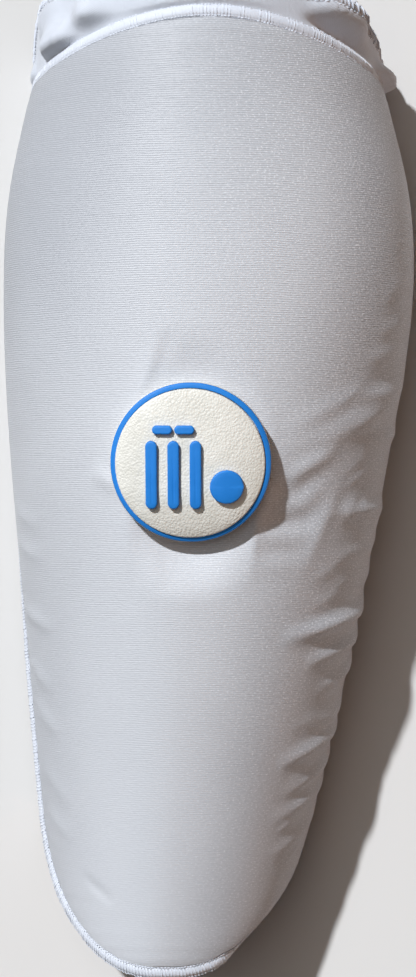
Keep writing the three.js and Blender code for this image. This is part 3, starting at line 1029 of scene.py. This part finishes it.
def makeStitchTree():
    tree = bpy.data.node_groups.new("stitch_row", "GeometryNodeTree")
    for name, kind in stitchInputs.items():
        tree.interface.new_socket(name, in_out="INPUT", socket_type="NodeSocket" + kind)
    tree.interface.new_socket("Stitches", in_out="OUTPUT", socket_type="NodeSocketGeometry")
    inputs = tree.nodes.new("NodeGroupInput").outputs
    path, unitStitch, pitch, jitter, seed, thread = [Wire(tree, inputs[name]) for name in stitchInputs]

    def add(kind, sockets, settings=None, output=0):
        return addNode(tree, kind, settings or {}, sockets, output)

    curve = add("GeometryNodeMeshToCurve", {"Mesh": path})
    even = add("GeometryNodeResampleCurve", {"Curve": curve, "Length": pitch}, {"mode": "LENGTH"})
    outward, upward = [
        add("GeometryNodeInputNamedAttribute", {"Name": label}, {"data_type": "FLOAT_VECTOR"}, "Attribute")
        for label in ("outward", "upward")
    ]
    axes = {"Primary Axis": outward, "Secondary Axis": upward}
    turned = add("FunctionNodeAxesToRotation", axes, {"primary_axis": "X", "secondary_axis": "Z"})
    sizes = {2: 1 - jitter, 3: 1 + jitter, "Seed": seed}  # sockets 2 and 3 bound a plain number
    size = add("FunctionNodeRandomValue", sizes, {"data_type": "FLOAT"}, 1)
    spread = add("ShaderNodeCombineXYZ", {"X": size, "Y": 1.0, "Z": size})
    unitMesh = add("GeometryNodeObjectInfo", {"Object": unitStitch}, output="Geometry")
    placing = {"Points": even, "Instance": unitMesh, "Rotation": turned, "Scale": spread}
    real = add("GeometryNodeRealizeInstances", {"Geometry": add("GeometryNodeInstanceOnPoints", placing)})
    painted = add("GeometryNodeSetMaterial", {"Geometry": real, "Material": thread})
    tree.links.new(painted.socket, tree.nodes.new("NodeGroupOutput").inputs["Stitches"])
    return tree


stitchTree = makeStitchTree()


def makeStitches(name, centre, out, up, look):
    # stitches in a row along a closed loop, baked to a plain mesh
    mesh = bpy.data.meshes.new(name + "_path")
    count = len(centre)
    mesh.from_pydata(toFrame(centre).tolist(), [(i, (i + 1) % count) for i in range(count)], [])
    for label, vectors in (("outward", out), ("upward", up)):
        layer = mesh.attributes.new(label, "FLOAT_VECTOR", "POINT")
        layer.data.foreach_set("vector", vectors.astype(np.float32).ravel())
    path = addObject(name + "_path", mesh)
    unitStitch = makeStitch(name + "_unit", look["halfReach"], look["halfThickness"], look["pitch"])
    row = path.modifiers.new("stitches", "NODES")
    row.node_group = stitchTree
    given = {
        "Stitch": unitStitch,
        "Pitch": look["pitch"] * mm,
        "Jitter": look["jitter"],
        "Seed": look["seed"],
        "Thread": finishes["thread"],
    }
    for item in stitchTree.interface.items_tree:
        if item.name in given:
            row[item.identifier] = given[item.name]
    baked = evaluatedMesh(path)
    baked.name = name
    stitches = addObject(name, baked)
    for spare in (path, unitStitch):
        bpy.data.objects.remove(spare)
    return stitches


def makeEdge():
    look = edgeSeam
    edge, out, up = edgePath()
    centre = edge + out * (look["clear"] + look["halfReach"]) + up * look["raise"]
    core = look["core"] + (look["archCore"] - look["core"]) * smoothStep(edge[:, 1], *look["archFrom"])
    roll = makeRoll("edge_roll", centre, out, up, look, core[:, None, None])
    placeInFrame(roll, "thread", "edge_seam")
    stitches = makeStitches("edge_stitches", centre, out, up, look)
    placeInFrame(stitches, "thread")
    print(f"overlocked edge, {len(stitches.data.polygons)} faces of thread")
    return centre, out


edgeCentre, edgeOut = makeEdge()

# badge

badgeDisc = {
    "radius": 20.1,
    "lip": 1.9,
    "plateau": 18.65,
    "top": 3.5,
    "bevel": 0.35,
    "round": 0.35,
    "ease": 0.05,
    "underRings": (2, 7, 12, 16),
    "topRings": (16.5, 14, 11, 8, 5, 2),
    "spans": 96,
    "lift": 1.4,
    "dome": 1.5,
    "skirt": 3.2,  # how far its underside reaches down to the cover
}
badgeBorder = {
    "inner": 18.7,
    "outer": 20.0,
    "low": 1.8,
    "top": 3.0,
    "bevel": 0.3,
    "innerBevel": 0.15,
    "shift": (0.12, 0.12),
}
motif = {
    "height": 1.4,
    "sunk": 0.05,
    "bevel": 0.4,
    "bevelSteps": (30, 60, 90),
    "topSteps": (0.3, 0.6, 0.85),
    "spans": 14,
    "stumps": [(-9.5, -2.6), (-4, -2.6), (1.5, -2.6)],
    "stumpWidth": 2.9,
    "stumpLength": 17,
    "bails": [(-6.75, 8.6), (-1.25, 8.6)],
    "bailWidth": 2.2,
    "bailLength": 5,
    "ball": (9.2, -5.6),
    "ballRadius": 4.2,
}


def onBadge(points):
    points = np.array(points, float)
    fromMiddle = np.linalg.norm(points[:, :2], axis=1) / badgeDisc["radius"]
    points[:, 2] += badgeDisc["lift"] + badgeDisc["dome"] * (1 - fromMiddle ** 3)
    points[:, 2] -= bendDrop(points[:, 0], points[:, 1])
    return badgeSeat + badgeUp * badge["gap"] + points @ badgeAxes


def arc(centreR, centreZ, radius, start, end, steps=5):
    angles = np.radians(np.linspace(start, end, steps))
    return [(centreR + radius * math.cos(a), centreZ + radius * math.sin(a)) for a in angles]


def capped(points, faces, count, low, high):
    # closes a stack of rings with a fan at each end
    last = len(points) - count
    for i in range(count):
        k = (i + 1) % count
        faces.append([last + count, k, i])
        faces.append([last + count + 1, last + i, last + k])
    return [*points, low, high]


def lathe(name, profile, slot, closed, shift=(0, 0)):
    spans = badgeDisc["spans"]
    angle = np.linspace(0, math.tau, spans, endpoint=False)
    profile = np.array(profile, float)
    rings = np.stack([
        profile[:, None, 0] * np.cos(angle),
        profile[:, None, 0] * np.sin(angle),
        np.broadcast_to(profile[:, None, 1], (len(profile), spans)),
    ], axis=-1)
    points = rings.reshape(-1, 3) + np.array([*shift, 0])
    faces = gridFaces(len(profile), spans, wrapRows=closed, wrapColumns=True)
    if not closed:
        points = capped(points, faces, spans, (0, 0, profile[0, 1]), (0, 0, profile[-1, 1]))
    return makePiece(name, onBadge(points), faces, slot)


def bar(name, centre, halfX, halfY):
    # a raised bar with round ends and soft top edges
    radius = min(halfX, halfY)
    base = badgeDisc["top"] - motif["sunk"]
    bevel, height, spans = motif["bevel"], motif["height"], motif["spans"]
    levels = [(0.0, base), (0.0, base + height - bevel)]
    for a in np.radians(motif["bevelSteps"]):
        levels.append((bevel * (1 - math.cos(a)), base + height - bevel + bevel * math.sin(a)))
    levels += [(bevel + (radius - bevel) * share, base + height) for share in motif["topSteps"]]
    rings = []
    for inset, z in levels:
        ring = []
        for end in (1, -1):
            shift = (max(halfX, halfY) - radius) * end
            for i in range(spans + 1):
                a = math.pi * (i / spans + (1 - end) / 2)
                along, across = math.sin(a) * (radius - inset) + shift, math.cos(a) * (radius - inset)
                x, y = (across, along) if halfY >= halfX else (along, -across)
                ring.append((centre[0] + x, centre[1] + y, z))
        rings.append(ring)
    count = len(rings[0])
    points = [point for ring in rings for point in ring]
    faces = gridFaces(len(rings), count, wrapColumns=True)
    points = capped(points, faces, count, (*centre, levels[0][1]), (*centre, levels[-1][1]))
    return makePiece(name, onBadge(points), faces, "badge_blue")


def makeBadge():
    disc, border, corner = badgeDisc, badgeBorder, badgeDisc["round"]
    foot = -disc["skirt"]
    profile = [(radius, foot) for radius in disc["underRings"]]
    profile += arc(disc["radius"] - corner, foot + corner, corner, -90, 0)
    profile += arc(disc["radius"] - corner, disc["lip"] - corner, corner, 0, 90)
    profile += [(disc["plateau"] + disc["ease"], disc["lip"])]
    profile += arc(disc["plateau"] - disc["bevel"], disc["top"] - disc["bevel"], disc["bevel"], 0, 90)
    profile += [(radius, disc["top"]) for radius in disc["topRings"]]
    piece = lathe("badge_disc", profile, "badge_cream", closed=False)
    placeInFrame(piece, "badge_cream", "badge_base")
    bevel, innerBevel = border["bevel"], border["innerBevel"]
    profile = [(border["inner"], border["low"]), (border["outer"], border["low"])]
    profile += arc(border["outer"] - bevel, border["top"] - bevel, bevel, 0, 90)
    profile += arc(border["inner"] + innerBevel, border["top"] - innerBevel, innerBevel, 90, 180, 3)
    piece = lathe("badge_border", profile, "badge_blue", closed=True, shift=border["shift"])
    placeInFrame(piece, "badge_blue", "badge_rim")
    for i, centre in enumerate(motif["stumps"], 1):
        piece = bar(f"motif_stump_{i}", centre, motif["stumpWidth"] / 2, motif["stumpLength"] / 2)
        placeInFrame(piece, "badge_blue", f"badge_stump_{i}")
    for i, centre in enumerate(motif["bails"], 1):
        piece = bar(f"motif_bail_{i}", centre, motif["bailLength"] / 2, motif["bailWidth"] / 2)
        placeInFrame(piece, "badge_blue", f"badge_bail_{i}")
    piece = bar("motif_ball", motif["ball"], motif["ballRadius"], motif["ballRadius"])
    placeInFrame(piece, "badge_blue", "badge_ball")


print("badge")
makeBadge()

# gathered elbow cuff

cuff = {
    "rows": 18,
    "spacing": 0.75,
    "loopPoints": 2000,
    "thickness": 0.7,
    "wall": 1.4,
    "tuck": 0.6,
    "backY": 103.7,
    "backReach": 9,
    "backHalfWidth": 42,
    "backCorner": 4.5,
    "backFlat": 14,
    "arch": (47.4, 57.5, 42.0),  # half width, crest and rise of the elbow end
    "reaches": table(  # degrees round from the crest, and reach towards the elbow
        "turn reach",
        (-92, 9),
        (-80, 13),
        (-70, 15),
        (-60, 15),
        (-50, 13.5),
        (-40, 11),
        (-27, 6.2),
        (-15, 5),
        (0, 5.5),
        (16, 6),
        (30, 7.2),
        (43, 9),
        (55, 9.4),
        (67, 8.6),
        (80, 7.6),
        (92, 7),
    ),
    "puffs": table(  # where the gathered cloth swells, by degrees round and share of the reach
        "turn wide sharp share front span height",
        (-88, 5, 4, 0.2, 0.09, 0.3, 1.4),
        (-58, 9, 4, 0.2, 0.08, 0.34, 4.0),
        (-66, 9, 4, 0.85, 0.38, 0.25, 1.6),
        (-41, 7, 2, 0.5, 0.25, 0.4, 4.2),
        (-4, 24, 4, 0.5, 0.22, 0.5, 0.9),
        (50, 14, 4, 0.32, 0.2, 0.24, -3.2),
        (50, 13, 4, 0.88, 0.3, 0.5, 3.4),
        (91, 12, 4, 0.26, 0.14, 0.3, 4.4),
    ),
    "freeFrom": 0.12,  # share of the reach that the seam still holds in
}
cuffCloth = {
    "frames": 26,
    "quality": 8,
    "grow": 0.05,
    "mass": 0.15,
    "stretch": 10.0,
    "bend": 6.0,
    "damping": 3.0,
    "air": 2.0,
    "body": 0.2,  # how firmly it keeps its charted puffs
    "seamHold": (1, 0.9),  # weights of its first two rows, at the seam, and of its last
    "hemHold": 0.75,
    "leastSpare": 0.08,
    "slack": 0.06,  # cloth cut beyond the length of the seam, as a share
}
hem = {
    "halfReach": 1.4,
    "halfThickness": 0.8,
    "core": 0.85,
    "seat": 0.7,  # how far out it sits, as a share of its reach
    "clear": 0.05,
    "spacing": 1.2,
    "sides": 8,
    "pitch": 1.3,
    "jitter": 0.2,
    "seed": 5,
}


def closedCurve(knots, count):
    # a smooth loop through knots, with their other columns carried along
    knots = np.asarray(knots, float)
    size = len(knots)
    chord = np.linalg.norm(np.roll(knots, -1, axis=0)[:, :3] - knots[:, :3], axis=1) ** 0.5
    run = np.concatenate([[0], np.cumsum(chord)])
    places = np.linspace(0, run[-1], count, endpoint=False)
    i = np.clip(np.searchsorted(run, places, side="right") - 1, 0, size - 1)
    t = ((places - run[i]) / chord[i])[:, None]
    a, b = knots[i], knots[(i + 1) % size]
    before, after = knots[i - 1], knots[(i + 2) % size]
    d0, d1, d2 = chord[i - 1][:, None], chord[i][:, None], chord[(i + 1) % size][:, None]
    m0 = ((a - before) / d0 - (b - before) / (d0 + d1) + (b - a) / d1) * d1
    m1 = ((b - a) / d1 - (after - a) / (d1 + d2) + (after - b) / d2) * d1
    rising = t * t * (3 - 2 * t)
    return a * (1 - rising) + b * rising + t * (1 - t) * ((1 - t) * m0 - t * m1)


def archEdge(turnDegrees, below=40, halvings=50):
    # where the sewn edge round the elbow end passes a given turn
    side = -1 if turnDegrees < 0 else 1
    low, high = shield["elbow"]["roundFrom"] - below, shield["elbow"]["tip"] - shield["tipInset"]
    wanted = math.radians(abs(turnDegrees))
    for _ in range(halvings):
        middle = (low + high) / 2
        if edgeTurn(middle, side) > wanted:
            low = middle
        else:
            high = middle
    y = (low + high) / 2
    turn = side * min(wanted, float(edgeTurn(y, side)))
    point = sewnEdge(turn, y)[0]
    nearest = np.argmin(np.linalg.norm(edgeCentre - point, axis=1))
    return point, edgeOut[nearest]


def cuffLoop():
    tuck = edgeSeam["clear"] + 2 * edgeSeam["halfReach"] - cuff["tuck"]
    knots = []
    for row in cuff["reaches"]:
        point, out = archEdge(row["turn"])
        knots.append([*(point + out * tuck), row["reach"]])
    corner = cuff["backHalfWidth"] + cuff["backCorner"] * math.sqrt(0.5)
    low = cuff["wall"] / 2
    rise = cuff["backCorner"] * (1 - math.sqrt(0.5))
    backs = [
        (corner, low + rise),
        (cuff["backHalfWidth"], low),
        (cuff["backFlat"], low),
        (-cuff["backFlat"], low),
        (-cuff["backHalfWidth"], low),
        (-corner, low + rise),
    ]
    knots += [[x, cuff["backY"], z, cuff["backReach"]] for x, z in backs]
    return closedCurve(knots, cuff["loopPoints"])


def puffHeight(base, share):
    halfWidth, crest, rise = cuff["arch"]
    turn = np.degrees(np.arctan2(base[:, 0] / halfWidth, 1 - (crest - base[:, 2]) / rise))
    height = np.zeros((len(share), len(base)))
    spare = np.full((len(share), len(base)), cuffCloth["leastSpare"])
    for puff in cuff["puffs"]:
        around = np.exp(-(abs((turn - puff["turn"]) / puff["wide"]) ** puff["sharp"]))[None, :]
        span = np.where(share < puff["share"], puff["front"], puff["span"])
        across = np.exp(-(((share - puff["share"]) / span) ** 2))[:, None]
        height += puff["height"] * around * across
        spare = np.maximum(spare, around * across)
    return height * smoothStep(share, 0, cuff["freeFrom"])[:, None], spare


def makeHem(sheet):
    edge = sheet[-1]
    along = tangents(edge)
    out = unit(edge - sheet[-3])
    up = unit(np.cross(along, out))
    centre = edge + out * hem["halfReach"] * hem["seat"]
    lowest = (hem["halfThickness"] + stitch["thread"]) * (1 + hem["jitter"]) + hem["clear"]
    centre[:, 2] = np.maximum(centre[:, 2], lowest)
    path = resampled(np.concatenate([centre, out, up], axis=1), hem["spacing"])
    centre, out, up = path[:, :3], unit(path[:, 3:6]), unit(path[:, 6:])
    roll = makeRoll("hem_roll", centre, out, up, hem, hem["core"])
    placeInFrame(roll, "thread", "cuff_hem")
    stitches = makeStitches("hem_stitches", centre, out, up, hem)
    placeInFrame(stitches, "thread")
    return [roll, stitches]


def makeCuff():
    loop = resampled(cuffLoop(), cuff["spacing"])
    base, reach = loop[:, :3], loop[:, 3:4]
    along = tangents(base)
    toElbow = np.array([0.0, 1.0, 0.0])
    out = unit(np.cross(along, toElbow))
    across = np.linspace(0, 1, cuff["rows"] + 1)
    height, spare = puffHeight(base, across)
    sheet = np.stack([base + toElbow * reach * share for share in across]) + out * height[..., None]
    sheet[..., 2] = np.maximum(sheet[..., 2], cuff["wall"] / 2)
    rows, count = sheet.shape[:2]
    faces = gridFaces(rows, count, wrapColumns=True)
    spans = np.linalg.norm(np.diff(sheet, axis=0), axis=2).sum(axis=0)
    span = spans.max()
    length = np.linalg.norm(np.roll(base, -1, axis=0) - base, axis=1).sum()
    cut = length * (1 + cuffCloth["slack"])
    hold = np.full((rows, count), held(cuffCloth["body"]))
    hold[0], hold[1] = cuffCloth["seamHold"]
    hold[-1] = cuffCloth["hemHold"]
    settled = simulate("cuff_sheet", sheet.reshape(-1, 3), spare.ravel(), hold.ravel(), faces, cuffCloth)
    sheet = settled.reshape(sheet.shape)
    sheet[..., 2] = np.maximum(sheet[..., 2], cuff["wall"] / 2)
    uv = np.stack(np.meshgrid(np.linspace(0, cut, count), across * span), axis=-1)
    piece = makePiece("cuff_cloth", sheet.reshape(-1, 3), faces, "sleeve", uv.reshape(-1, 2))
    thicken(piece, cuff["thickness"])
    placeInFrame(piece, "sleeve", "elbow_cuff")
    sewn = makeHem(sheet)
    print(f"gathered cuff, cut {cut:.0f} by {span:.0f} mm")


makeCuff()

# back cloth, stretched across under the arm

backCloth = {
    "wristEnd": panelWristEnd,
    "elbowEnd": 104.2,
    "rows": 120,
    "columns": 64,
    "thickness": 0.7,
    "clear": 0.05,
    "sewnIn": 0.3,
    "rise": 9,
    "elbowRise": 4,  # it turns up more sharply there, where the cuff is sewn to it
    "elbowFrom": (76, 100),
    "hemLength": 9,
    "hemRadius": 0.55,
    "hemSteps": (7, 8),  # round the turn, and along the part folded back
    "ripple": 0.25,
    "ripples": 5,
    "rippleShare": 0.2,
    "rippleBend": (-0.05, 0.05),
    "rippleRate": (0.08, 0.3),
    "rippleFrom": (2, 14),  # millimetres in from the seam and the hem
    "seed": 21,
}


def alongLoop(loop, left, right, row):
    # points under the arm along a loop, spaced as in a row of the cloth
    first, last = [np.argmin(np.linalg.norm(loop - end, axis=1)) for end in (right, left)]
    lower = np.roll(loop, -first, axis=0)[: (last - first) % len(loop) + 1][::-1]
    spaced = []
    for line in (lower, row):
        run = runAlong(line)
        spaced.append(run / run[-1])
    return np.stack([np.interp(spaced[1], spaced[0], lower[:, axis]) for axis in range(3)], axis=-1)


def backRipple(x, y):
    look = backCloth
    random = np.random.default_rng(look["seed"])
    ripple = np.zeros(x.shape)
    for _ in range(look["ripples"]):
        bend, phase = random.uniform(*look["rippleBend"]), random.uniform(0, math.tau)
        rate = random.uniform(*look["rippleRate"])
        ripple += np.sin(x * bend + y * rate + phase) * look["rippleShare"] + look["rippleShare"]
    return look["ripple"] * ripple


def makeBack():
    look = backCloth
    y = np.linspace(look["elbowEnd"], look["wristEnd"], look["rows"])
    sides = []
    for side in (-1, 1):
        edge = sewnEdge(side * edgeTurn(y, side), y)[0]
        nearest = np.argmin(np.linalg.norm(edge[:, None] - edgeCentre[None], axis=-1), axis=1)
        sides.append(edgeCentre[nearest] + edgeOut[nearest] * look["sewnIn"])
    share = np.linspace(0, 1, look["columns"])[None, :]
    left, right = sides[0][:, None, :], sides[1][:, None, :]
    x = left[..., 0] + (right[..., 0] - left[..., 0]) * share
    fromLeft, fromRight = x - left[..., 0], right[..., 0] - x
    low = look["thickness"] / 2 + look["clear"]
    rise = look["rise"] + (look["elbowRise"] - look["rise"]) * smoothStep(y, *look["elbowFrom"])[:, None]
    liftLeft = (left[..., 2] - low) * (1 - smoothStep(fromLeft / rise, 0, 1))
    liftRight = (right[..., 2] - low) * (1 - smoothStep(fromRight / rise, 0, 1))
    yy = np.broadcast_to(y[:, None], x.shape)
    fromHem = smoothStep(yy, look["wristEnd"], look["wristEnd"] + look["rippleFrom"][1])
    inside = np.minimum(smoothStep(np.minimum(fromLeft, fromRight), *look["rippleFrom"]), fromHem)
    z = low + liftLeft + liftRight + backRipple(x, yy) * inside
    panel = np.stack([x, yy, z], axis=-1)
    panel[0] = alongLoop(cuffLoop()[:, :3], sides[0][0], sides[1][0], panel[1])
    # a hem turned in at the wrist
    aroundTurn, alongFold = look["hemSteps"]
    radius = look["hemRadius"]
    angles = np.linspace(0, math.pi, aroundTurn)[1:]
    bends = [np.array([0, -math.sin(a) * radius, (1 - math.cos(a)) * radius]) for a in angles]
    turned = np.stack([panel[-1] + bend for bend in bends])
    reaches = np.linspace(0, look["hemLength"], alongFold)[1:]
    folded = np.stack([turned[-1] + np.array([0, reach, 0]) for reach in reaches])
    sheet = np.concatenate([panel, turned, folded])
    steps = np.linalg.norm(np.diff(sheet, axis=0), axis=2).mean(axis=1)
    run = np.concatenate([[0], np.cumsum(steps)])
    uv = np.stack(np.broadcast_arrays(sheet[..., 0], run[:, None]), axis=-1)
    faces = gridFaces(*sheet.shape[:2])
    piece = makePiece("back_cloth", sheet.reshape(-1, 3), faces, "sleeve", uv.reshape(-1, 2))
    thicken(piece, look["thickness"])
    placeInFrame(piece, "sleeve", "back_panel")


makeBack()

makeCamera(shiftX, shiftY)
makeLights()
makeFloor()
print("camera, light and floor")
